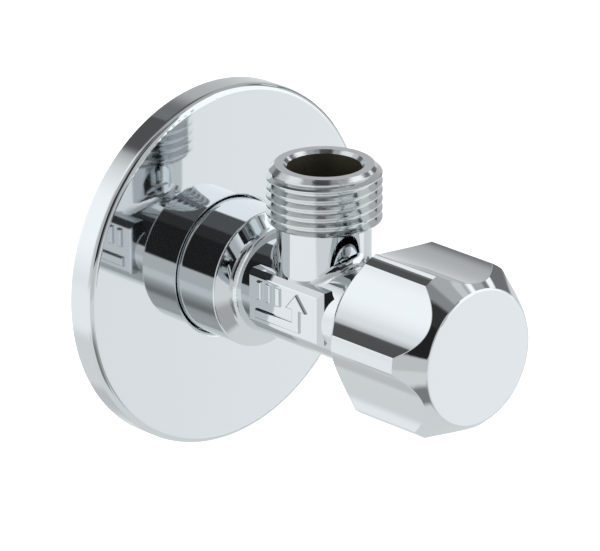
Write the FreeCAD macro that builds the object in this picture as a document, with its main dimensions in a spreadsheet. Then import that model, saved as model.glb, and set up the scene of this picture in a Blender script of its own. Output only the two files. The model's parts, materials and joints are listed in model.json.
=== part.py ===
"""Angle stop valve: a chromed brass tap that stands out of a wall and feeds a basin or cistern.

The inlet axis runs along Y. The wall is the plane Y = 0, the valve stands out of it towards -Y, and
its threaded outlet points up, along +Z. A distance in the table below that is called "from the wall"
is -Y. The origin is the point where the inlet axis meets the wall. Millimetres throughout.
"""
import FreeCAD, Part
import Sketcher
import os
import re

doc = FreeCAD.newDocument("AngleStopValve")
Vector = FreeCAD.Vector
Rotation = FreeCAD.Rotation
Placement = FreeCAD.Placement

# ---------------------------------------------------------------------------------------------
# Driving dimensions
# ---------------------------------------------------------------------------------------------
SIZES = {
    # Wall rosette: a spun cup with a flanged hole
    "rosette_radius": 27.0, "rosette_depth": 4.2, "sheet": 0.8, "rosette_edge": 1.0,
    "rosette_hole": 10.32, "flange_back": 1.0, "flange_edge": 0.5, "clamp_outer": 12.6,
    "clamp_back": 0.3, "grip_gap": 0.05,
    # Inlet: G 1/2 thread behind the wall, then the plain tail that the rosette slides on
    "inlet_back": 14.0, "inlet_major": 10.478, "inlet_depth": 1.162, "inlet_pitch": 1.814,
    "inlet_chamfer": 1.0, "relief_back": 2.4, "relief_front": 0.4, "undercut": 0.05,
    "tail_radius": 10.2, "tail_end": 11.8, "bevel_end": 13.0, "inlet_bore": 7.0, "inlet_bore_end": 9.0,
    # Barrel and the bell that runs in under the handle
    "barrel_radius": 7.4, "bell_start": 34.0, "bell_end": 37.5, "bell_radius": 9.0, "body_front": 41.5,
    # Outlet: G 3/8 thread on a plain neck
    "outlet_distance": 24.05, "outlet_top": 20.85, "outlet_major": 8.331, "outlet_depth": 0.856,
    "outlet_pitch": 1.337, "outlet_chamfer": 1.2, "thread_bottom": 12.45, "neck_radius": 6.8,
    "edge_break": 0.3, "thread_over": 0.1, "thread_root": 0.09, "thread_flank": 0.46,
    "inlet_runout": 0.9,
    "outlet_bore": 5.35, "mouth_radius": 5.85, "outlet_bore_end": 9.5, "passage_radius": 4.4,
    "passage_slope": 1.0,
    "neck_blend": 1.6, "tail_blend": 1.1, "tail_edge": 0.3, "bell_blend": 4.0,
    # Flat pads forged on both sides of the barrel, and the marks raised on one: an arrow that turns
    # up as the water does, and three bars
    "pad_face": 7.9, "pad_near": 16.7, "pad_far": 31.5, "pad_low": 3.0, "pad_high": 4.9,
    "pad_slope": 0.8, "pad_edge": 0.3, "relief_height": 0.35, "relief_edge": 0.2,
    "arrow_start": 18.3, "arrow_base": -2.1, "arrow_width": 1.4, "arrow_corner": 27.3,
    "arrow_neck": 1.2, "arrow_tip": 3.6, "arrow_wing": 1.4,
    "bar_start": 18.6, "bar_width": 0.9, "bar_step": 1.9, "bar_base": 0.8, "bar_top": 3.6,
    # Seat and chamber inside the body
    "throat_radius": 3.4, "throat_start": 12.0, "seat_face": 19.2, "seat_outer": 4.4,
    "chamber_floor": 18.0, "chamber_radius": 5.2, "socket_start": 30.0, "socket_radius": 6.5,
    # Headwork housing, its gasket and its hexagon
    "housing_back": 30.6, "housing_radius": 6.47, "corner_break": 0.4, "gasket": 0.5, "gasket_outer": 8.3,
    "hex_flats": 15.0, "hex_end": 45.0, "hex_land": 0.2, "hex_slope": 0.8, "boss_radius": 4.6, "housing_front": 47.0,
    "guide_radius": 4.9, "guide_flat": 4.3, "shoulder": 39.9, "spindle_bore": 3.1,
    "rib_half": 2.6, "ring_gap": 0.1, "cut_over": 1.0,
    # Spindle
    "stem_radius": 2.95, "stem_back": 30.4, "collar_back": 38.2, "collar_front": 39.4,
    "collar_radius": 4.15, "shaft_radius": 3.05, "groove_radius": 2.2, "groove_width": 1.1,
    "lower_groove": 41.2, "upper_groove": 43.6, "clip_groove": 47.1, "clip_width": 0.6,
    "clip_groove_radius": 2.5, "clip_outer": 4.3, "spline_start": 48.2, "spline_end": 53.6,
    "spline_radius": 3.0, "spline_root": 2.65, "spline_runout": 0.4, "gap_root": 0.12,
    "gap_top": 0.45, "gap_over": 0.2, "ring_section": 0.42, "ring_centre": 2.65,
    "slip_gap": 0.02, "clip_gap": 0.05, "clip_mouth": 1.7, "clip_mouth_wide": 2.3,
    # Closing piston and what it carries
    "piston_radius": 4.8, "piston_flat": 4.2, "piston_back": 21.3, "piston_head": 23.3,
    "piston_front": 34.2, "piston_bore": 3.0, "piston_bore_back": 26.5, "tapping_end": 25.6,
    "washer_back": 19.3, "washer_radius": 4.7, "washer_hole": 1.6, "screw_radius": 1.5,
    "screw_end": 25.0, "screw_head": 2.5, "screw_back": 17.6, "retainer_radius": 2.9,
    "retainer": 0.4, "slot_half": 0.35, "slot_depth": 0.6,
    # Handle: six hollow-ground facets on a turned blank
    "handle_radius": 13.15, "handle_back": 36.8, "back_cone": 39.2, "back_radius": 10.7,
    "front_cone": 51.4, "handle_front": 55.3, "face_radius": 10.0, "facet_depth": 10.8,
    "facet_grind": 14.0, "cavity_radius": 9.6, "cavity_end": 52.0, "hub_radius": 6.9,
    "hub_back": 47.6, "hub_bore": 5.2, "hub_bore_end": 54.0, "face_edge": 0.45, "facet_edge": 0.15,
    "insert_radius": 5.15, "insert_back": 47.9, "insert_end": 53.9, "insert_bore": 3.05,
    "clip_ring": 0.3, "clip_ring_place": 49.4, "ring_room": 0.45, "ring_groove": 0.7,
    "ring_seat": 0.38,
}
FACET_PHASE = 35.0      # degrees: one facet centre, measured from -X towards +Z
FACETS = 6
SPLINES = 12
BARS = 3
TINY = 0.01           # mm: two places nearer than this are the same

sheet = doc.addObject("Spreadsheet::Sheet", "Sizes")
for row, (alias, size) in enumerate(SIZES.items(), start=1):
    sheet.set(f"A{row}", alias)
    sheet.set(f"B{row}", str(size))
    sheet.setAlias(f"B{row}", alias)
doc.recompute()


def bound(text):
    """Turn a sum of table names into an expression on the sheet."""
    return re.sub(r"[a-z_]+", lambda word: f"Sizes.{word[0]}" if word[0] in SIZES else word[0], text)


# ---------------------------------------------------------------------------------------------
# Sketch and feature helpers
# ---------------------------------------------------------------------------------------------
def new_body(label):
    body = doc.addObject("PartDesign::Body", label)
    body.Label = label
    return body


def new_sketch(body, name, role, offset="0", turned=False):
    """A sketch on one of the body's own origin planes, moved along the plane's normal."""
    sketch = body.newObject("Sketcher::SketchObject", name)
    plane = next(part for part in body.Origin.OriginFeatures if part.Role == role)
    sketch.AttachmentSupport = [(plane, "")]
    sketch.MapMode = "FlatFace"
    half_turn = Rotation(Vector(0, 0, 1), 180 if turned else 0)
    sketch.AttachmentOffset = Placement(Vector(0, 0, 0), half_turn)
    sketch.setExpression("AttachmentOffset.Base.z", bound(offset))
    return sketch


def pin_point(sketch, line, across, up):
    """Hold a line's first point at two sizes from the sketch's origin."""
    for kind, text in (("DistanceX", across), ("DistanceY", up)):
        index = sketch.addConstraint(Sketcher.Constraint(kind, -1, 1, line, 1, 1.0))
        sketch.setExpression(f"Constraints[{index}]", bound(text))


def outline(sketch, points):
    """A closed outline of straight lines whose corners are bound to the sheet."""
    count = len(points)
    first = sketch.GeometryCount
    for index in range(count):
        sketch.addGeometry(Part.LineSegment(Vector(index, index * index, 0),
                                            Vector(index + 1, (index + 1) ** 2, 0)), False)
    for index in range(count):
        following = (index + 1) % count
        sketch.addConstraint(Sketcher.Constraint("Coincident", first + index, 2, first + following, 1))
    for index, (across, up) in enumerate(points):
        pin_point(sketch, first + index, across, up)
    return sketch


def circle(sketch, across, up, radius):
    """A circle with its centre and its radius bound to the sheet."""
    index = sketch.addGeometry(Part.Circle(Vector(1, 1, 0), Vector(0, 0, 1), 1.0), False)
    for kind, text in (("DistanceX", across), ("DistanceY", up)):
        place = sketch.addConstraint(Sketcher.Constraint(kind, -1, 1, index, 3, 1.0))
        sketch.setExpression(f"Constraints[{place}]", bound(text))
    size = sketch.addConstraint(Sketcher.Constraint("Radius", index, 1.0))
    sketch.setExpression(f"Constraints[{size}]", bound(radius))
    return sketch


def turned(body, name, points, cut=False):
    """Revolve an outline of (distance from the wall, radius) corners about the inlet axis."""
    sketch = outline(new_sketch(body, f"{name}_profile", "YZ_Plane", turned=True), points)
    feature = body.newObject("PartDesign::Groove" if cut else "PartDesign::Revolution", name)
    feature.Profile = sketch
    feature.ReferenceAxis = (sketch, ["H_Axis"])
    feature.Angle = 360
    return feature


def upright(body, name, points, cut=False):
    """Revolve an outline of (radius, height) corners about the outlet axis."""
    sketch = outline(new_sketch(body, f"{name}_profile", "XZ_Plane", "outlet_distance"), points)
    feature = body.newObject("PartDesign::Groove" if cut else "PartDesign::Revolution", name)
    feature.Profile = sketch
    feature.ReferenceAxis = (sketch, ["V_Axis"])
    feature.Angle = 360
    return feature


def turned_part(label, points):
    """A sub-part that is nothing but one turned outline."""
    body = new_body(label)
    turned(body, f"{label}_turned", points)
    return body


def ring_edges(shape, distance, radius):
    """Names of the round edges about the inlet axis at one place and size."""
    names = []
    for number, edge in enumerate(shape.Edges, start=1):
        curve = edge.Curve
        if not isinstance(curve, Part.Circle):
            continue
        off_axis = Vector(curve.Center.x, curve.Center.y + distance, curve.Center.z).Length
        if off_axis < TINY and abs(curve.Radius - radius) < TINY:
            names.append(f"Edge{number}")
    return names


def edge_boxes(shape):
    """Each edge's name and bounding box."""
    return [(f"Edge{number}", edge.BoundBox) for number, edge in enumerate(shape.Edges, start=1)]


def dress(body, name, kind, edges, size):
    """Round or chamfer edges of the body's newest feature."""
    dressed = body.Tip
    feature = body.newObject(f"PartDesign::{kind}", name)
    feature.Base = (dressed, edges)
    feature.setExpression("Radius" if kind == "Fillet" else "Size", bound(size))
    doc.recompute()
    return feature


# ---------------------------------------------------------------------------------------------
# Valve body: one forging, turned and threaded
# ---------------------------------------------------------------------------------------------
def thread(body, name, end, height):
    """Cut a Whitworth-form pipe thread as a helical groove with flat crest and root."""
    root = f"{end}_major - {end}_depth"
    over = f"{end}_major + thread_over"
    half_root = f"thread_root * {end}_pitch"
    half_over = f"thread_flank * {end}_pitch"
    if end == "outlet":
        sketch = new_sketch(body, f"{name}_section", "XZ_Plane", "outlet_distance")
        start = "thread_bottom - outlet_pitch"
        corners = [(root, f"{start} - {half_root}"), (over, f"{start} - {half_over}"),
                   (over, f"{start} + {half_over}"), (root, f"{start} + {half_root}")]
    else:
        sketch = new_sketch(body, f"{name}_section", "YZ_Plane", turned=True)
        start = "-inlet_back - inlet_pitch"
        corners = [(f"{start} - {half_root}", root), (f"{start} - {half_over}", over),
                   (f"{start} + {half_over}", over), (f"{start} + {half_root}", root)]
    helix = body.newObject("PartDesign::SubtractiveHelix", name)
    helix.Profile = outline(sketch, corners)
    helix.ReferenceAxis = (sketch, ["V_Axis" if end == "outlet" else "H_Axis"])
    helix.Mode = "pitch-height-angle"
    helix.setExpression("Pitch", bound(f"{end}_pitch"))
    helix.setExpression("Height", bound(height))
    return helix


def raised(body, name, points):
    """A raised mark on the pad at -X; corners are (distance from the wall, height)."""
    sketch = new_sketch(body, f"{name}_outline", "YZ_Plane", "-pad_face + relief_height")
    outline(sketch, [(f"-({along})", up) for along, up in points])
    mark = body.newObject("PartDesign::Pad", name)
    mark.Profile = sketch
    mark.Reversed = True
    mark.setExpression("Length", bound("2 * relief_height"))
    return mark


def on_pad_face(box, proud):
    """Whether an edge lies flat on a pad's face, or so far proud of it."""
    nearest = min(abs(box.XMin), abs(box.XMax))
    return box.XLength < TINY and abs(nearest - SIZES["pad_face"] - proud) < TINY


def build_valve_body():
    body = new_body("valve_body")
    turned(body, "barrel", [
        ("-inlet_back", "0"),
        ("-inlet_back", "inlet_major - inlet_chamfer"),
        ("-inlet_back + inlet_chamfer", "inlet_major"),
        ("-relief_back", "inlet_major"),
        ("-relief_back", "inlet_major - inlet_depth - undercut"),
        ("-relief_front", "inlet_major - inlet_depth - undercut"),
        ("-relief_front", "tail_radius"),
        ("tail_end", "tail_radius"),
        ("bevel_end", "barrel_radius"),
        ("bell_start", "barrel_radius"),
        ("bell_end", "bell_radius"),
        ("body_front", "bell_radius"),
        ("body_front", "0")])
    doc.recompute()
    dress(body, "bell_root", "Fillet",
          ring_edges(body.Shape, SIZES["bell_start"], SIZES["barrel_radius"])
          + ring_edges(body.Shape, SIZES["bell_end"], SIZES["bell_radius"]), "bell_blend")
    dress(body, "tail_root", "Fillet",
          ring_edges(body.Shape, SIZES["bevel_end"], SIZES["barrel_radius"]), "tail_blend")
    dress(body, "tail_rim", "Fillet",
          ring_edges(body.Shape, SIZES["tail_end"], SIZES["tail_radius"]), "tail_edge")

    upright(body, "outlet", [
        ("0", "0"),
        ("neck_radius", "0"),
        ("neck_radius", "thread_bottom"),
        ("outlet_major - edge_break", "thread_bottom"),
        ("outlet_major", "thread_bottom + edge_break"),
        ("outlet_major", "outlet_top - outlet_chamfer"),
        ("outlet_major - outlet_chamfer", "outlet_top"),
        ("0", "outlet_top")])
    doc.recompute()
    junction = []
    for number, edge in enumerate(body.Shape.Edges, start=1):
        box = edge.BoundBox
        curved = not isinstance(edge.Curve, (Part.Line, Part.Circle))
        if curved and box.ZMin > 0.1 and box.ZMax < SIZES["thread_bottom"]:
            junction.append(f"Edge{number}")
    dress(body, "neck_root", "Fillet", junction, "neck_blend")

    pads = body.newObject("PartDesign::Pad", "side_pads")
    pads.Profile = outline(new_sketch(body, "side_pads_outline", "XY_Plane", "-pad_low"), [
        ("-pad_face", "-pad_near"),
        ("-pad_face", "-pad_far + pad_slope"),
        ("-pad_face + pad_slope", "-pad_far"),
        ("pad_face - pad_slope", "-pad_far"),
        ("pad_face", "-pad_far + pad_slope"),
        ("pad_face", "-pad_near")])
    pads.setExpression("Length", bound("pad_low + pad_high"))
    doc.recompute()
    dress(body, "pad_slopes", "Chamfer", [
        name for name, box in edge_boxes(body.Shape)
        if on_pad_face(box, 0) and box.ZMin > SIZES["pad_high"] - TINY], "pad_slope")
    dress(body, "pad_rims", "Fillet", [
        name for name, box in edge_boxes(body.Shape) if on_pad_face(box, 0)], "pad_edge")

    raised(body, "flow_arrow", [
        ("arrow_start", "arrow_base"),
        ("arrow_corner", "arrow_base"),
        ("arrow_corner", "arrow_neck"),
        ("arrow_corner + arrow_wing", "arrow_neck"),
        ("arrow_corner - arrow_width / 2", "arrow_tip"),
        ("arrow_corner - arrow_width - arrow_wing", "arrow_neck"),
        ("arrow_corner - arrow_width", "arrow_neck"),
        ("arrow_corner - arrow_width", "arrow_base + arrow_width"),
        ("arrow_start", "arrow_base + arrow_width")])
    for number in range(BARS):
        near = f"bar_start + {number} * bar_step"
        raised(body, f"bar_{number + 1}", [
            (near, "bar_base"), (f"{near} + bar_width", "bar_base"),
            (f"{near} + bar_width", "bar_top"), (near, "bar_top")])
    doc.recompute()
    dress(body, "relief_rims", "Fillet", [
        name for name, box in edge_boxes(body.Shape) if on_pad_face(box, SIZES["relief_height"])],
        "relief_edge")

    turned(body, "waterway", [
        ("-inlet_back", "0"),
        ("-inlet_back", "inlet_bore"),
        ("inlet_bore_end", "inlet_bore"),
        ("throat_start", "throat_radius"),
        ("seat_face", "throat_radius"),
        ("seat_face", "seat_outer"),
        ("chamber_floor", "seat_outer"),
        ("chamber_floor", "chamber_radius"),
        ("socket_start", "chamber_radius"),
        ("socket_start", "socket_radius"),
        ("body_front", "socket_radius"),
        ("body_front", "0")], cut=True)
    upright(body, "outlet_way", [
        ("0", "0"),
        ("passage_radius", "0"),
        ("passage_radius", "outlet_bore_end - passage_slope"),
        ("outlet_bore", "outlet_bore_end"),
        ("outlet_bore", "outlet_top - mouth_radius + outlet_bore"),
        ("mouth_radius", "outlet_top"),
        ("0", "outlet_top")], cut=True)
    doc.recompute()

    thread(body, "outlet_thread", "outlet", "outlet_top - thread_bottom + 2 * outlet_pitch")
    thread(body, "inlet_thread", "inlet", "inlet_back - relief_back + inlet_pitch + inlet_runout")
    return body


build_valve_body()
doc.recompute()

turned_part("inlet_seal_ring", [
    ("-relief_back + ring_gap", "inlet_major - inlet_depth"),
    ("-relief_back + ring_gap", "tail_radius - ring_gap"),
    ("-relief_front - ring_gap", "tail_radius - ring_gap"),
    ("-relief_front - ring_gap", "inlet_major - inlet_depth")])


# ---------------------------------------------------------------------------------------------
# Wall rosette and the ring that grips the tail
# ---------------------------------------------------------------------------------------------
def build_wall_rosette():
    body = new_body("wall_rosette")
    turned(body, "cup", [
        ("0", "rosette_radius - sheet"),
        ("0", "rosette_radius"),
        ("rosette_depth", "rosette_radius"),
        ("rosette_depth", "rosette_hole"),
        ("flange_back", "rosette_hole"),
        ("flange_back", "rosette_hole + sheet"),
        ("rosette_depth - sheet", "rosette_hole + sheet"),
        ("rosette_depth - sheet", "rosette_radius - sheet")])
    doc.recompute()
    dress(body, "rim_edge", "Fillet",
          ring_edges(body.Shape, SIZES["rosette_depth"], SIZES["rosette_radius"]), "rosette_edge")
    dress(body, "hole_edge", "Fillet",
          ring_edges(body.Shape, SIZES["rosette_depth"], SIZES["rosette_hole"]), "flange_edge")
    return body


build_wall_rosette()
turned_part("rosette_clamp_ring", [
    ("clamp_back", "tail_radius + grip_gap"),
    ("clamp_back", "clamp_outer"),
    ("flange_back", "clamp_outer"),
    ("flange_back", "tail_radius + grip_gap")])


# ---------------------------------------------------------------------------------------------
# Headwork housing: screwed into the body, guides the piston and carries the spindle
# ---------------------------------------------------------------------------------------------
def hexagon(body, name, flats, offset, length):
    """Pad a hexagon about the inlet axis, away from the wall."""
    sketch = new_sketch(body, f"{name}_outline", "XZ_Plane", offset)
    corner = f"{flats} / 2 / cos(30 deg)"
    outline(sketch, [(f"{corner} * cos({60 * step} deg)", f"{corner} * sin({60 * step} deg)")
                     for step in range(6)])
    pad = body.newObject("PartDesign::Pad", name)
    pad.Profile = sketch
    pad.setExpression("Length", bound(length))
    return pad


def flat_pair(body, name, kind, corners, offset, length):
    """Pad or pocket two mirrored rectangles, above and below the inlet axis, away from the wall."""
    (near, low), (far, high) = corners
    sketch = new_sketch(body, f"{name}_outline", "XZ_Plane", offset)
    outline(sketch, [(near, low), (far, low), (far, high), (near, high)])
    outline(sketch, [(near, f"-({low})"), (far, f"-({low})"), (far, f"-({high})"), (near, f"-({high})")])
    feature = body.newObject(f"PartDesign::{kind}", name)
    feature.Profile = sketch
    feature.Reversed = kind == "Pocket"
    feature.setExpression("Length", bound(length))
    return feature


def build_headwork_housing():
    body = new_body("headwork_housing")
    turned(body, "sleeve", [
        ("housing_back", "guide_radius"),
        ("housing_back", "housing_radius - corner_break"),
        ("housing_back + corner_break", "housing_radius"),
        ("body_front + gasket", "housing_radius"),
        ("hex_end", "housing_radius"),
        ("hex_end", "boss_radius"),
        ("housing_front", "boss_radius"),
        ("housing_front", "spindle_bore"),
        ("shoulder", "spindle_bore"),
        ("shoulder", "guide_radius")])
    doc.recompute()
    flat_pair(body, "guide_ribs", "Pad", (("-rib_half", "guide_flat"), ("rib_half", "guide_radius + edge_break")),
              "housing_back", "shoulder - housing_back")
    hexagon(body, "hexagon", "hex_flats", "body_front + gasket", "hex_end - body_front - gasket")
    doc.recompute()
    turned(body, "hexagon_bore", [
        ("shoulder", "0"), ("shoulder", "spindle_bore"),
        ("housing_front", "spindle_bore"), ("housing_front", "0")], cut=True)
    corner = "hex_flats / 2 / cos(30 deg)"
    turned(body, "hexagon_chamfer", [
        ("hex_end", "hex_flats / 2 - hex_land"),
        ("hex_end + cut_over", "hex_flats / 2 - hex_land"),
        ("hex_end + cut_over", f"{corner} + cut_over"),
        ("hex_end - hex_slope", f"{corner} + cut_over")], cut=True)
    return body


build_headwork_housing()
turned_part("headwork_gasket", [
    ("body_front", "housing_radius + ring_gap"),
    ("body_front", "gasket_outer"),
    ("body_front + gasket", "gasket_outer"),
    ("body_front + gasket", "housing_radius + ring_gap")])


# ---------------------------------------------------------------------------------------------
# Spindle and the small rings it carries
# ---------------------------------------------------------------------------------------------
def repeat_round(body, feature, count):
    """Repeat a feature evenly about the inlet axis."""
    axis = next(part for part in body.Origin.OriginFeatures if part.Role == "Y_Axis")
    pattern = body.newObject("PartDesign::PolarPattern", f"{feature.Name}_pattern")
    pattern.Originals = [feature]
    pattern.Axis = (axis, [""])
    pattern.Angle = 360
    pattern.Occurrences = count
    body.Tip = pattern
    return pattern


def build_spindle():
    body = new_body("spindle")
    turned(body, "bar", [
        ("stem_back", "0"),
        ("stem_back", "stem_radius - edge_break"),
        ("stem_back + edge_break", "stem_radius"),
        ("collar_back", "stem_radius"),
        ("collar_back", "collar_radius"),
        ("collar_front", "collar_radius"),
        ("collar_front", "shaft_radius"),
        ("lower_groove", "shaft_radius"),
        ("lower_groove", "groove_radius"),
        ("lower_groove + groove_width", "groove_radius"),
        ("lower_groove + groove_width", "shaft_radius"),
        ("upper_groove", "shaft_radius"),
        ("upper_groove", "groove_radius"),
        ("upper_groove + groove_width", "groove_radius"),
        ("upper_groove + groove_width", "shaft_radius"),
        ("clip_groove", "shaft_radius"),
        ("clip_groove", "clip_groove_radius"),
        ("clip_groove + clip_width", "clip_groove_radius"),
        ("clip_groove + clip_width", "shaft_radius"),
        ("spline_start", "spline_radius"),
        ("spline_end - edge_break", "spline_radius"),
        ("spline_end", "spline_radius - edge_break"),
        ("spline_end", "0")])
    doc.recompute()
    sketch = new_sketch(body, "spline_gap_outline", "XZ_Plane", "spline_start + spline_runout")
    outline(sketch, [("-gap_root", "spline_root"), ("gap_root", "spline_root"),
                     ("gap_top", "spline_radius + gap_over"), ("-gap_top", "spline_radius + gap_over")])
    gap = body.newObject("PartDesign::Pocket", "spline_gap")
    gap.Profile = sketch
    gap.Reversed = True
    gap.setExpression("Length", bound("spline_end - spline_start"))
    doc.recompute()
    repeat_round(body, gap, SPLINES)
    return body


def o_ring(label, groove):
    """A rubber ring of round section seated in a spindle groove."""
    ring = doc.addObject("Part::Torus", label)
    ring.Label = label
    ring.setExpression("Radius1", bound("ring_centre"))
    ring.setExpression("Radius2", bound("ring_section"))
    ring.Placement = Placement(Vector(0, 0, 0), Rotation(Vector(1, 0, 0), 90))
    ring.setExpression("Placement.Base.y", bound(f"-{groove} - groove_width / 2"))
    return ring


build_spindle()
o_ring("lower_spindle_ring", "lower_groove")
o_ring("upper_spindle_ring", "upper_groove")
turned_part("slip_washer", [
    ("collar_front + slip_gap", "shaft_radius + ring_gap"),
    ("collar_front + slip_gap", "collar_radius"),
    ("shoulder - slip_gap", "collar_radius"),
    ("shoulder - slip_gap", "shaft_radius + ring_gap")])


def build_retaining_clip():
    body = new_body("retaining_clip")
    turned(body, "clip_disc", [
        ("clip_groove + clip_gap", "clip_groove_radius"),
        ("clip_groove + clip_gap", "clip_outer"),
        ("clip_groove + clip_width - clip_gap", "clip_outer"),
        ("clip_groove + clip_width - clip_gap", "clip_groove_radius")])
    mouth = body.newObject("PartDesign::Pocket", "clip_mouth")
    mouth.Profile = outline(new_sketch(body, "clip_mouth_outline", "XZ_Plane", "clip_groove"), [
        ("-clip_mouth", "0"), ("clip_mouth", "0"),
        ("clip_mouth_wide", "clip_outer + cut_over"), ("-clip_mouth_wide", "clip_outer + cut_over")])
    mouth.Reversed = True
    mouth.setExpression("Length", bound("clip_width"))
    return body


build_retaining_clip()


# ---------------------------------------------------------------------------------------------
# Closing piston, its rubber washer and the screw that holds it
# ---------------------------------------------------------------------------------------------
def build_closing_piston():
    body = new_body("closing_piston")
    turned(body, "piston_bar", [
        ("piston_back", "screw_radius"),
        ("piston_back", "piston_radius"),
        ("piston_front", "piston_radius"),
        ("piston_front", "piston_bore"),
        ("piston_bore_back", "piston_bore"),
        ("piston_bore_back", "0"),
        ("tapping_end", "0"),
        ("tapping_end", "screw_radius")])
    doc.recompute()
    flat_pair(body, "piston_flats", "Pocket", (("-piston_radius - cut_over", "piston_flat"), ("piston_radius + cut_over", "piston_radius + cut_over")),
              "piston_head", "piston_front - piston_head + cut_over")
    return body


build_closing_piston()
turned_part("seat_washer", [
    ("washer_back", "washer_hole"),
    ("washer_back", "washer_radius"),
    ("piston_back", "washer_radius"),
    ("piston_back", "washer_hole")])
turned_part("retainer_disc", [
    ("washer_back - retainer", "screw_radius + clip_gap"),
    ("washer_back - retainer", "retainer_radius"),
    ("washer_back", "retainer_radius"),
    ("washer_back", "screw_radius + clip_gap")])


def build_washer_screw():
    body = new_body("washer_screw")
    turned(body, "screw_bar", [
        ("screw_back", "0"),
        ("screw_back", "screw_head - corner_break"),
        ("screw_back + corner_break", "screw_head"),
        ("washer_back - retainer", "screw_head"),
        ("washer_back - retainer", "screw_radius"),
        ("screw_end", "screw_radius"),
        ("screw_end", "0")])
    slot = body.newObject("PartDesign::Pocket", "driver_slot")
    slot.Profile = outline(new_sketch(body, "driver_slot_outline", "XZ_Plane", "screw_back"), [
        ("-slot_half", "-screw_head"), ("slot_half", "-screw_head"),
        ("slot_half", "screw_head"), ("-slot_half", "screw_head")])
    slot.Reversed = True
    slot.setExpression("Length", bound("slot_depth"))
    return body


build_washer_screw()


# ---------------------------------------------------------------------------------------------
# Handle, the splined insert pressed into it and the insert's spring ring
# ---------------------------------------------------------------------------------------------
def build_handle():
    body = new_body("handle")
    turned(body, "blank", [
        ("handle_back", "cavity_radius"),
        ("handle_back", "back_radius"),
        ("back_cone", "handle_radius"),
        ("front_cone", "handle_radius"),
        ("handle_front", "face_radius"),
        ("handle_front", "0"),
        ("hub_bore_end", "0"),
        ("hub_bore_end", "hub_bore"),
        ("hub_back", "hub_bore"),
        ("hub_back", "hub_radius"),
        ("cavity_end", "hub_radius"),
        ("cavity_end", "cavity_radius")])
    doc.recompute()
    dress(body, "face_rim", "Fillet",
          ring_edges(body.Shape, SIZES["handle_front"], SIZES["face_radius"]), "face_edge")
    sketch = new_sketch(body, "facet_outline", "XZ_Plane", "handle_back - cut_over")
    away = "(facet_depth + facet_grind)"
    circle(sketch, f"-{away} * cos({FACET_PHASE} deg)", f"{away} * sin({FACET_PHASE} deg)", "facet_grind")
    facet = body.newObject("PartDesign::Pocket", "facet")
    facet.Profile = sketch
    facet.Reversed = True
    facet.setExpression("Length", bound("handle_front - handle_back + 2 * cut_over"))
    doc.recompute()
    repeat_round(body, facet, FACETS)
    doc.recompute()
    outside = []
    for name, box in edge_boxes(body.Shape):
        reach = max(abs(box.XMin), abs(box.XMax), abs(box.ZMin), abs(box.ZMax))
        if box.YLength > TINY and reach > SIZES["cavity_radius"] + TINY:
            outside.append(name)
    dress(body, "facet_rims", "Fillet", outside, "facet_edge")
    return body


def build_handle_insert():
    body = new_body("handle_insert")
    turned(body, "insert_tube", [
        ("insert_back", "insert_bore"),
        ("insert_back", "insert_radius"),
        ("clip_ring_place - ring_room", "insert_radius"),
        ("clip_ring_place - ring_room", "insert_radius - ring_groove"),
        ("clip_ring_place + ring_room", "insert_radius - ring_groove"),
        ("clip_ring_place + ring_room", "insert_radius"),
        ("insert_end", "insert_radius"),
        ("insert_end", "insert_bore")])
    return body


build_handle()
build_handle_insert()
spring_ring = doc.addObject("Part::Torus", "insert_spring_ring")
spring_ring.Label = "insert_spring_ring"
spring_ring.setExpression("Radius1", bound("insert_radius - ring_seat"))
spring_ring.setExpression("Radius2", bound("clip_ring"))
spring_ring.Placement = Placement(Vector(0, 0, 0), Rotation(Vector(1, 0, 0), 90))
spring_ring.setExpression("Placement.Base.y", bound("-clip_ring_place"))


# ---------------------------------------------------------------------------------------------
# Check every object, then write one STEP file for each sub-part
# ---------------------------------------------------------------------------------------------
doc.recompute()
for item in doc.Objects:
    if "Invalid" in item.State or "Error" in item.State:
        raise RuntimeError(f"{item.Label} failed: {item.State}")

sub_parts = [item for item in doc.Objects if item.TypeId in ("PartDesign::Body", "Part::Torus")]
os.makedirs("parts", exist_ok=True)
for item in sub_parts:
    if item.Shape.isNull() or not item.Shape.isValid():
        raise RuntimeError(f"{item.Label} has no valid shape")
    if len(item.Shape.Solids) != 1:
        raise RuntimeError(f"{item.Label} is {len(item.Shape.Solids)} solids")
    item.Shape.exportStep(f"parts/{item.Label}.step")
    print(f"{item.Label:22s} {item.Shape.Volume:9.1f} mm3")
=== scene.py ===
# %% [markdown]
# # A chromed angle stop valve
# The valve stands between the pipe in a bathroom wall and the thin tube up to a tap. It is plated
# all over, so the picture is made of reflections: what the metal shows is the studio round it.
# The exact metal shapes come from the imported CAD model. This lesson gives them a camera, a studio
# to reflect, and a finish for each of the six kinds of material in the valve.

# %% Load the valve
import json
import math

import bpy
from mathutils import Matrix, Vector


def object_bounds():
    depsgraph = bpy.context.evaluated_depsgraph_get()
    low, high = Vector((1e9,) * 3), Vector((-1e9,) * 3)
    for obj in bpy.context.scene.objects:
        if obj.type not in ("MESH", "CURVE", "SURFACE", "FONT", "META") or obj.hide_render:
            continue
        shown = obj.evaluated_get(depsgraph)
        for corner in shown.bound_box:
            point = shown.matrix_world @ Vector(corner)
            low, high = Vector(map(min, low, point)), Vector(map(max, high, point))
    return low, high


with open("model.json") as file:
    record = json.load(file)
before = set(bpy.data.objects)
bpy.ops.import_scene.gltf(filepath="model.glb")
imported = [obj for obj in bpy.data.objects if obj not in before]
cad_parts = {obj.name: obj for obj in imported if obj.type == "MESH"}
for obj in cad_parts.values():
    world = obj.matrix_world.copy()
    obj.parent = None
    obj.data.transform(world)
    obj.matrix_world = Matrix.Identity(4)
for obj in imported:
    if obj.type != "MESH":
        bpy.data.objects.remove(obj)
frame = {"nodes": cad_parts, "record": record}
CAD_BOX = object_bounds()
MM = 0.001
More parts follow.
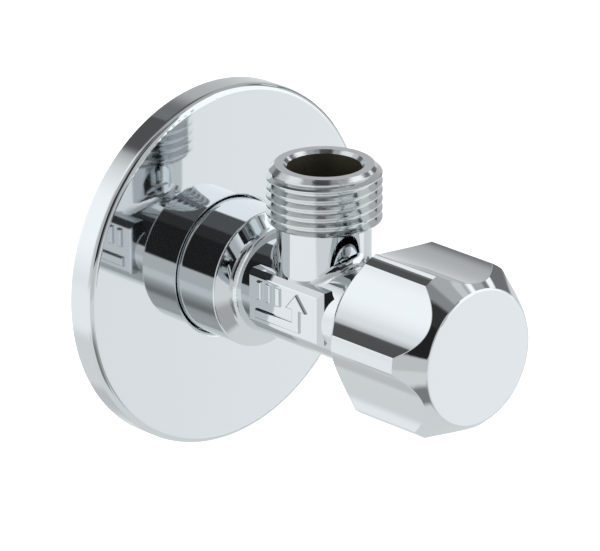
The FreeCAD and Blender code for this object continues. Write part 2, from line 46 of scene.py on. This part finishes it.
print("valve, lowest and highest corner in mm:", [[round(c / MM, 1) for c in corner] for corner in CAD_BOX])

# %% [markdown]
# ## Small helpers
# Colours are easiest to choose as the hex values that a colour picker gives, but the renderer works
# in linear light, so one function turns the first into the second. Materials and the studio are
# made of nodes. One function adds a node with its settings, its fixed inputs and its links, and two
# more do the sums between values.


# %% Colour and node helpers
def linear(hex_colour, alpha=1.0):
    """The linear colour of an sRGB hex value such as '#c8ccd0'."""
    parts = [int(hex_colour[i : i + 2], 16) / 255 for i in (1, 3, 5)]
    return tuple(c / 12.92 if c <= 0.04045 else ((c + 0.055) / 1.055) ** 2.4 for c in parts) + (alpha,)


def add_node(tree, kind, settings=None, inputs=None, links=None):
    """Adds a node. settings are its properties, inputs fixed values and links sockets to join, by input."""
    node = tree.nodes.new(kind)
    for name, value in (settings or {}).items():
        setattr(node, name, value)
    for key, value in (inputs or {}).items():
        node.inputs[key].default_value = value
    for key, socket in (links or {}).items():
        tree.links.new(socket, node.inputs[key])
    return node


def with_number(tree, kind, value, number):
    """A value joined with a fixed number by a maths operation."""
    return add_node(tree, "ShaderNodeMath", {"operation": kind}, {1: number}, {0: value}).outputs[0]


def join(tree, kind, first, second):
    """Two values joined by a maths operation."""
    return add_node(tree, "ShaderNodeMath", {"operation": kind}, links={0: first, 1: second}).outputs[0]


print("mid grey in linear light:", [round(c, 3) for c in linear("#808080")])

# %% [markdown]
# ## The camera
# A small shiny thing is best shown from far away through a long lens, because its circles then stay
# true ellipses and its straight edges stay parallel. The camera stands a metre off, to the left and
# a little above, and looks at the middle of the valve.

# %% Camera a metre away
VIEW_AZIMUTH, VIEW_ELEVATION = math.radians(-43.47), math.radians(20.75)
VIEW_DISTANCE = 1.0
LENS_MM, SENSOR_MM = 422.3, 36.0
AIM = Vector((-0.00538, -0.02471, 0.00536))
towards_camera = Vector(
    (
        math.sin(VIEW_AZIMUTH) * math.cos(VIEW_ELEVATION),
        -math.cos(VIEW_AZIMUTH) * math.cos(VIEW_ELEVATION),
        math.sin(VIEW_ELEVATION),
    )
)
camera_data = bpy.data.cameras.new("long_lens")
camera_data.lens = LENS_MM
camera_data.sensor_width = SENSOR_MM
camera = bpy.data.objects.new("camera", camera_data)
bpy.context.scene.collection.objects.link(camera)
camera.location = AIM + towards_camera * VIEW_DISTANCE
camera.rotation_euler = towards_camera.to_track_quat("Z", "Y").to_euler()
bpy.context.scene.camera = camera
bpy.context.scene.view_settings.view_transform = "Standard"
print("camera at", [round(c, 4) for c in camera.location])

# %% [markdown]
# ## The studio
# Polished chrome has almost no colour of its own. It looks like chrome when it has something bright,
# something grey and something black to reflect. In a studio that is white cloth and black card hung
# round the table; here a world shader does it. It starts as a pale tent, a little darker above
# than below, and each card is laid over it: a soft-edged rectangle, given by the direction of its
# middle, its half width and half height in degrees, and how bright it is.
# The camera itself sees plain white behind the valve, as on a white paper roll.

# %% The tent and its cards
TENT_BELOW, TENT_ABOVE = 0.8, 0.5
FADE_FROM, FADE_TO = -0.3, 0.7
CARDS = [
    # azimuth (0 is +X, 90 is +Y), elevation, half width, half height, soft edge, brightness
    ("pale cloth high at the left", 137, 50, 20, 9, 8, 1.05),
    ("dark cloth overhead at the front", -140, 69, 38, 8, 8, 0.08),
    ("dark cloth high over the wall", 75, 60, 38, 19, 18, 0.12),
    ("dark cloth high at the front", -100, 62, 15, 7, 10, 0.3),
    ("pale cloth high at the right", -44, 60, 8, 7, 7, 0.72),
    ("dark cloth low at the front", -105, -38.5, 32, 10.5, 9, 0.47),
    ("dark middle of that cloth", -132, -48, 22, 13, 10, 0.25),
    ("dark cloth low at the rear", 70, -47, 20, 8, 12, 0.62),
    ("grey cloth under the black card", -128, -8, 30, 9, 4, 0.66),
    ("grey card right of the camera", -90, 18, 20, 26, 8, 0.6),
    ("dark bar over the grey card", -92, 49, 30, 7, 3, 0.12),
    ("grey edge of the black card", -112, 14, 8, 18, 4, 0.22),
    ("black card, upper part", -123, 43, 19, 14, 4, 0.04),
    ("black card, lower part", -134, 18.5, 14.5, 19, 3, 0.02),
    ("soft box at the right front", -46, 22, 24, 32, 4, 1.27),
    ("white card low at the front", -52, -24, 30, 13, 6, 0.93),
    ("brighter end of the white card", -34, -22, 12.5, 12, 5, 1.05),
    ("dark cloth round the small card", -5, 28, 15, 9, 5, 0.25),
    ("small white card at the right", -1, 26, 5, 4, 3, 1.2),
    ("dark strip at the right", 9, 8, 8, 13, 4, 0.2),
    ("soft box at the left rear", 134, 17, 26, 26, 40, 1.17),
    ("white card low at the left", 165, -22, 41, 12, 8, 1.03),
    ("dark bar just over the wall", 92, 24, 9, 7, 6, 0.18),
    ("dark cloth under the dark bar", 79, 41, 18, 7, 14, 0.2),
    ("dark bar above the wall", 94.5, 49, 17.5, 5.5, 2, 0.1),
    ("white end of the dark bar", 70.5, 46.2, 3.4, 1.9, 1, 1.08),
]


def lay_card(tree, direction, below, azimuth, elevation, half_width, half_height, soft, level):
    """Lays one soft-edged card over the brightness socket below, and returns the new brightness."""
    turned = add_node(
        tree,
        "ShaderNodeVectorRotate",
        {"rotation_type": "Z_AXIS"},
        {"Angle": -math.radians(azimuth)},
        {"Vector": direction},
    )
    parts = add_node(tree, "ShaderNodeSeparateXYZ", links={0: turned.outputs[0]})
    sideways = join(tree, "ARCTAN2", parts.outputs["Y"], parts.outputs["X"])
    upwards = add_node(tree, "ShaderNodeMath", {"operation": "ARCSINE"}, links={0: parts.outputs["Z"]})
    covers = []
    for angle, middle, half in ((sideways, 0, half_width), (upwards.outputs[0], elevation, half_height)):
        off_middle = with_number(tree, "SUBTRACT", angle, math.radians(middle))
        away = add_node(tree, "ShaderNodeMath", {"operation": "ABSOLUTE"}, links={0: off_middle})
        edge = add_node(
            tree,
            "ShaderNodeMapRange",
            {"interpolation_type": "SMOOTHSTEP"},
            {
                "From Min": math.radians(half + soft / 2),
                "From Max": math.radians(half - soft / 2),
                "To Min": 0.0,
                "To Max": 1.0,
            },
            {"Value": away.outputs[0]},
        )
        covers.append(edge.outputs[0])
    cover = join(tree, "MULTIPLY", *covers)
    laid = add_node(
        tree, "ShaderNodeMix", {"data_type": "FLOAT"}, {"B": level}, {"Factor": cover, "A": below}
    )
    return laid.outputs["Result"]


world = bpy.data.worlds.new("white_tent")
world.use_nodes = True
bpy.context.scene.world = world
tent = world.node_tree
tent.nodes.clear()
direction = add_node(tent, "ShaderNodeTexCoord").outputs["Generated"]
height = add_node(tent, "ShaderNodeSeparateXYZ", links={0: direction}).outputs["Z"]
brightness = add_node(
    tent,
    "ShaderNodeMapRange",
    {"interpolation_type": "SMOOTHSTEP"},
    {"From Min": FADE_FROM, "From Max": FADE_TO, "To Min": TENT_BELOW, "To Max": TENT_ABOVE},
    {"Value": height},
).outputs["Result"]
for title, *card in CARDS:
    brightness = lay_card(tent, direction, brightness, *card)
reflected = add_node(
    tent, "ShaderNodeBackground", inputs={"Color": linear("#fbfdff")}, links={"Strength": brightness}
)
paper = add_node(tent, "ShaderNodeBackground", inputs={"Color": linear("#ffffff"), "Strength": 1.0})
seen = add_node(tent, "ShaderNodeLightPath").outputs["Is Camera Ray"]
both = add_node(tent, "ShaderNodeMixShader", links={0: seen, 1: reflected.outputs[0], 2: paper.outputs[0]})
add_node(tent, "ShaderNodeOutputWorld", links={"Surface": both.outputs[0]})
print("tent with", len(CARDS), "cards")

# %% [markdown]
# ## The floor and one big lamp
# In use the valve hangs from the pipe in the wall, so here it hangs too, a hand's width over a plain
# white floor. A large lamp overhead makes the floor white and the shadow soft. Both are kept out of
# the chrome's reflections, where the tent stands for them.

# %% Floor and overhead lamp
FLOOR_SIZE, FLOOR_DROP = 12.0, 0.075
LAMP_SIZE, LAMP_HEIGHT, LAMP_POWER = 1.6, 1.5, 34.0


def finish_named(name, **sockets):
    """A new material with a Principled shader, whose fixed inputs are given by name."""
    material = bpy.data.materials.new(name)
    material.use_nodes = True
    shader = material.node_tree.nodes["Principled BSDF"]
    for key, value in sockets.items():
        shader.inputs[key.replace("_", " ")].default_value = value
    return material, material.node_tree, shader


bpy.ops.object.select_all(action="DESELECT")
bpy.ops.mesh.primitive_plane_add(size=FLOOR_SIZE, location=(0, 0, CAD_BOX[0].z - FLOOR_DROP))
floor = bpy.context.object
floor.name = "floor"
floor.visible_glossy = False
paper_white, _, _ = finish_named("white_paper", Base_Color=linear("#f6f6f5"), Roughness=0.9)
floor.data.materials.append(paper_white)
lamp_data = bpy.data.lights.new("overhead_lamp", "AREA")
lamp_data.size = LAMP_SIZE
lamp_data.energy = LAMP_POWER
lamp = bpy.data.objects.new("overhead_lamp", lamp_data)
bpy.context.scene.collection.objects.link(lamp)
lamp.location = (0, 0, LAMP_HEIGHT)
lamp.visible_glossy = False
print("floor at", round(floor.location.z / MM, 1), "mm")

# %% [markdown]
# ## Polished chrome
# Decorative chrome is a layer a few ten-thousandths of a millimetre thick over nickel on brass that
# was buffed with a cloth wheel. It gives a nearly perfect, faintly blue mirror. Buffing leaves the
# surface very slightly uneven, so a mirror with no flaw looks wrong: a low, wide ripple in the
# normals and a little change in gloss from place to place stand for that.

# %% Chrome finish
CHROME_HEX = "#e0e4e6"
GLOSS_PATCH_MM, GLOSS_LOW, GLOSS_HIGH = 9.0, 0.025, 0.06
RIPPLE_MM, RIPPLE_DEPTH_MM, RIPPLE_STRENGTH = 5.0, 0.1, 0.02


def per_mm(size_mm):
    """The scale that makes a texture's features about size_mm wide when it reads Object coordinates."""
    return 1 / (size_mm * MM)


def chrome_nodes(tree, place):
    """Buffed plate: roughness that drifts and a faint ripple. Returns the roughness and the normal."""
    patches = add_node(
        tree,
        "ShaderNodeTexNoise",
        inputs={"Scale": per_mm(GLOSS_PATCH_MM), "Detail": 4.0, "Roughness": 0.6},
        links={"Vector": place},
    )
    drift = add_node(
        tree,
        "ShaderNodeMapRange",
        inputs={"From Min": 0.3, "From Max": 0.7, "To Min": GLOSS_LOW, "To Max": GLOSS_HIGH},
        links={"Value": patches.outputs["Fac"]},
    )
    waves = add_node(
        tree,
        "ShaderNodeTexNoise",
        inputs={"Scale": per_mm(RIPPLE_MM), "Detail": 1.0},
        links={"Vector": place},
    )
    bump = add_node(
        tree,
        "ShaderNodeBump",
        inputs={"Strength": RIPPLE_STRENGTH, "Distance": RIPPLE_DEPTH_MM * MM},
        links={"Height": waves.outputs["Fac"]},
    )
    return drift.outputs["Result"], bump.outputs["Normal"]


chrome, chrome_tree, chrome_shader = finish_named(
    "buffed_chrome_plate", Base_Color=linear(CHROME_HEX), Metallic=1.0, Roughness=0.04
)
chrome_place = add_node(chrome_tree, "ShaderNodeTexCoord").outputs["Object"]
gloss, normal = chrome_nodes(chrome_tree, chrome_place)
chrome_tree.links.new(gloss, chrome_shader.inputs["Roughness"])
chrome_tree.links.new(normal, chrome_shader.inputs["Normal"])
print("chrome reflects", [round(c, 2) for c in linear(CHROME_HEX)[:3]])

# %% [markdown]
# ## Chrome with cut threads
# The threads are cut on a lathe and not buffed, so under the plate they keep fine turning marks,
# which smear each reflection up and down. The marks are laid round the outlet's axis, and the inlet
# thread, which the wall hides, simply shares them. Plating hardly reaches into a bore, which stays
# bare brass; its colour is also darkened to a dull olive grey as painted shade inside the hole. The
# threads and bores are part of the body's one solid, so one material tells them apart by place:
# above the neck, behind the wall, and near the axes of the outlet and the inlet.
# apart by place: above the neck, behind the wall, and near the axes of the outlet and the inlet.
# A greater-than or less-than node gives 1 on its side of a limit and 0 elsewhere.

# %% Body finish with turned threads and a bare bore darkened with painted shade
OUTLET_THREAD_FROM, INLET_THREAD_FROM = 12.2, 0.6
OUTLET_AXIS_Y, BORE_RADIUS, BORE_TO, INLET_BORE_RADIUS = -24.05, 5.6, 20.3, 7.05
TURNED_HEX, TURNED_ROUGHNESS = "#d6d9da", 0.07
TURNING_MARK_MM, MARK_DEPTH_MM, MARK_STRENGTH = 0.12, 0.03, 0.5
ROUND_Z = (0.02, 0.02, 1.0)
# bore colour: bare brass darkened to a dull olive grey, painted shade for the inside of the holes
BARE_BRASS_WITH_PAINTED_SHADE_HEX, DULL_BRASS_ROUGHNESS = "#848270", 0.5


def along(tree, place, axis_stretch):
    """The place with each axis scaled, so that a texture runs in lines where an axis is scaled down."""
    stretched = add_node(
        tree, "ShaderNodeVectorMath", {"operation": "MULTIPLY"}, {1: axis_stretch}, {0: place}
    )
    return stretched.outputs[0]


def blend(tree, data_type, share, first, second):
    """A mix of two values, vectors or colours, each a link or a fixed value."""
    mix = add_node(tree, "ShaderNodeMix", {"data_type": data_type}, links={"Factor": share})
    sockets = [socket for socket in mix.inputs if socket.enabled and socket.name in ("A", "B")]
    for socket, value in zip(sockets, (first, second)):
        if isinstance(value, bpy.types.NodeSocket):
            tree.links.new(value, socket)
        else:
            socket.default_value = value
    return next(socket for socket in mix.outputs if socket.enabled)


def turning_marks(tree, place, axis_stretch, strength):
    """The normal of a surface with fine tool marks."""
    marks = add_node(
        tree,
        "ShaderNodeTexNoise",
        inputs={"Scale": per_mm(TURNING_MARK_MM), "Detail": 2.0},
        links={"Vector": along(tree, place, axis_stretch)},
    )
    bump = add_node(
        tree,
        "ShaderNodeBump",
        inputs={"Strength": strength, "Distance": MARK_DEPTH_MM * MM},
        links={"Height": marks.outputs["Fac"]},
    )
    return bump.outputs["Normal"]


body_chrome, body_tree, body_shader = finish_named("chrome_plate_with_turned_threads", Metallic=1.0)
body_place = add_node(body_tree, "ShaderNodeTexCoord").outputs["Object"]
body_parts = add_node(body_tree, "ShaderNodeSeparateXYZ", links={0: body_place})
above_neck = with_number(body_tree, "GREATER_THAN", body_parts.outputs["Z"], OUTLET_THREAD_FROM * MM)
behind_wall = with_number(body_tree, "GREATER_THAN", body_parts.outputs["Y"], INLET_THREAD_FROM * MM)
is_turned = join(body_tree, "MAXIMUM", above_neck, behind_wall)
from_outlet = add_node(
    body_tree,
    "ShaderNodeVectorMath",
    {"operation": "SUBTRACT"},
    {1: (0, OUTLET_AXIS_Y * MM, 0)},
    {0: along(body_tree, body_place, (1, 1, 0))},
).outputs[0]
outlet_radius = add_node(body_tree, "ShaderNodeVectorMath", {"operation": "LENGTH"}, links={0: from_outlet})
inside = with_number(body_tree, "LESS_THAN", outlet_radius.outputs["Value"], BORE_RADIUS * MM)
under_mouth = with_number(body_tree, "LESS_THAN", body_parts.outputs["Z"], BORE_TO * MM)
over_barrel = with_number(body_tree, "GREATER_THAN", body_parts.outputs["Z"], 0.0)
bore_height = join(body_tree, "MULTIPLY", under_mouth, over_barrel)
outlet_bore = join(body_tree, "MULTIPLY", inside, bore_height)
inlet_radius = add_node(
    body_tree,
    "ShaderNodeVectorMath",
    {"operation": "LENGTH"},
    links={0: along(body_tree, body_place, (1, 0, 1))},
)
inlet_bore = with_number(body_tree, "LESS_THAN", inlet_radius.outputs["Value"], INLET_BORE_RADIUS * MM)
is_bore = join(body_tree, "MAXIMUM", outlet_bore, inlet_bore)
gloss, buffed_normal = chrome_nodes(body_tree, body_place)
turned_normal = turning_marks(body_tree, body_place, ROUND_Z, MARK_STRENGTH)
plated_colour = blend(body_tree, "RGBA", is_turned, linear(CHROME_HEX), linear(TURNED_HEX))
plated_gloss = blend(body_tree, "FLOAT", is_turned, gloss, TURNED_ROUGHNESS)
for socket, value in {
    # inside the bores the colour is the darkened brass, painted shade of the holes
    "Base Color": blend(body_tree, "RGBA", is_bore, plated_colour, linear(BARE_BRASS_WITH_PAINTED_SHADE_HEX)),
    "Roughness": blend(body_tree, "FLOAT", is_bore, plated_gloss, DULL_BRASS_ROUGHNESS),
    "Normal": blend(body_tree, "VECTOR", is_turned, buffed_normal, turned_normal),
}.items():
    body_tree.links.new(value, body_shader.inputs[socket])
print("turned finish above", OUTLET_THREAD_FROM, "mm, bare bore inside", BORE_RADIUS, "mm")

# %% [markdown]
# ## Turned brass
# The headwork, spindle, piston and screw are turned from brass bar and left bare. Fresh brass is a
# warm yellow metal, but water and grease dull it in patches, and the tool leaves fine rings round
# the axis that it turned on, which is the inlet's, along Y.

# %% Brass finish
BRASS_HEX, DULLED_BRASS_HEX, BRASS_PATCH_MM = "#d9b36a", "#b08c4c", 3.0
BRASS_MARK_STRENGTH = 0.3
ROUND_Y = (0.02, 1.0, 0.02)


def patchy(tree, place, size_mm, first_hex, second_hex):
    """A colour that drifts between two in soft patches about size_mm wide."""
    patches = add_node(
        tree, "ShaderNodeTexNoise", inputs={"Scale": per_mm(size_mm), "Detail": 3.0}, links={"Vector": place}
    )
    return blend(tree, "RGBA", patches.outputs["Fac"], linear(first_hex), linear(second_hex))


brass, brass_tree, brass_shader = finish_named("turned_brass", Metallic=1.0, Roughness=0.28)
brass_place = add_node(brass_tree, "ShaderNodeTexCoord").outputs["Object"]
brass_colour = patchy(brass_tree, brass_place, BRASS_PATCH_MM, BRASS_HEX, DULLED_BRASS_HEX)
brass_tree.links.new(brass_colour, brass_shader.inputs["Base Color"])
brass_marks = turning_marks(brass_tree, brass_place, ROUND_Y, BRASS_MARK_STRENGTH)
brass_tree.links.new(brass_marks, brass_shader.inputs["Normal"])
print("brass rings every", TURNING_MARK_MM, "mm")

# %% [markdown]
# ## Rubber, nylon, spring steel and fibre
# The small parts are hidden in the valve, but each still gets what makes it itself. The washer and
# the spindle rings are moulded black rubber: matt, with a fine grain. The insert, the slip washer,
# the clamp ring and the inlet's seal are moulded nylon: off-white, a little shiny and a little
# cloudy. The clips are stainless spring steel, rolled in one direction. The gasket is red fibre
# sheet, pressed from coarse short threads that still show as mottling.

# %% Small part finishes
RUBBER_HEX, NYLON_HEX, STEEL_HEX = "#1c1c1d", "#e4e0d5", "#b3b5b7"
FIBRE_HEX, FIBRE_DARK_HEX = "#8c3a2a", "#5e2118"
RUBBER_GRAIN_MM, NYLON_GRAIN_MM, STEEL_GRAIN_MM, FIBRE_MM = 0.25, 0.4, 0.3, 0.6
GRAIN_DEPTH_MM = 0.02
ALONG_X = (0.05, 1, 1)


def grained(name, size_mm, strength, stretch=(1, 1, 1), colours=None, **sockets):
    """A finish with an even fine grain in its normals, and two drifting colours where they are given."""
    material, tree, shader = finish_named(name, **sockets)
    place = add_node(tree, "ShaderNodeTexCoord").outputs["Object"]
    grain = add_node(
        tree,
        "ShaderNodeTexNoise",
        inputs={"Scale": per_mm(size_mm), "Detail": 3.0},
        links={"Vector": along(tree, place, stretch)},
    )
    bump = add_node(
        tree,
        "ShaderNodeBump",
        inputs={"Strength": strength, "Distance": GRAIN_DEPTH_MM * MM},
        links={"Height": grain.outputs["Fac"]},
    )
    tree.links.new(bump.outputs["Normal"], shader.inputs["Normal"])
    if colours:
        mottled = blend(tree, "RGBA", grain.outputs["Fac"], linear(colours[0]), linear(colours[1]))
        tree.links.new(mottled, shader.inputs["Base Color"])
    return material


rubber = grained(
    "moulded_black_rubber", RUBBER_GRAIN_MM, 0.4, Base_Color=linear(RUBBER_HEX), Roughness=0.6, IOR=1.52
)
nylon = grained(
    "moulded_nylon", NYLON_GRAIN_MM, 0.15, Base_Color=linear(NYLON_HEX), Roughness=0.38, IOR=1.53
)
steel = grained(
    "rolled_spring_steel",
    STEEL_GRAIN_MM,
    0.3,
    ALONG_X,
    Base_Color=linear(STEEL_HEX),
    Metallic=1.0,
    Roughness=0.25,
)
fibre = grained("pressed_red_fibre", FIBRE_MM, 0.6, colours=(FIBRE_HEX, FIBRE_DARK_HEX), Roughness=0.85)
print("made", rubber.name, nylon.name, steel.name, fibre.name)

# %% [markdown]
# ## Dressing the CAD parts
# Every part keeps its exact CAD shape and only swaps its plain material for the finish made above.
# The record says which slot each part belongs to, so the parts are dressed slot by slot.

# %% Dress every part
SLOT_FINISH = {
    "chrome_plate": chrome,
    "brass": brass,
    "black_rubber": rubber,
    "white_nylon": nylon,
    "spring_steel": steel,
    "red_fibre": fibre,
}
for part in frame["record"]["subparts"]:
    node = frame["nodes"][part["node"]]
    finish = body_chrome if part["node"] == "valve_body" else SLOT_FINISH[part["material_slot"]]
    node.data.materials.clear()
    node.data.materials.append(finish)
    print(f"{part['node']:22s} {finish.name}")
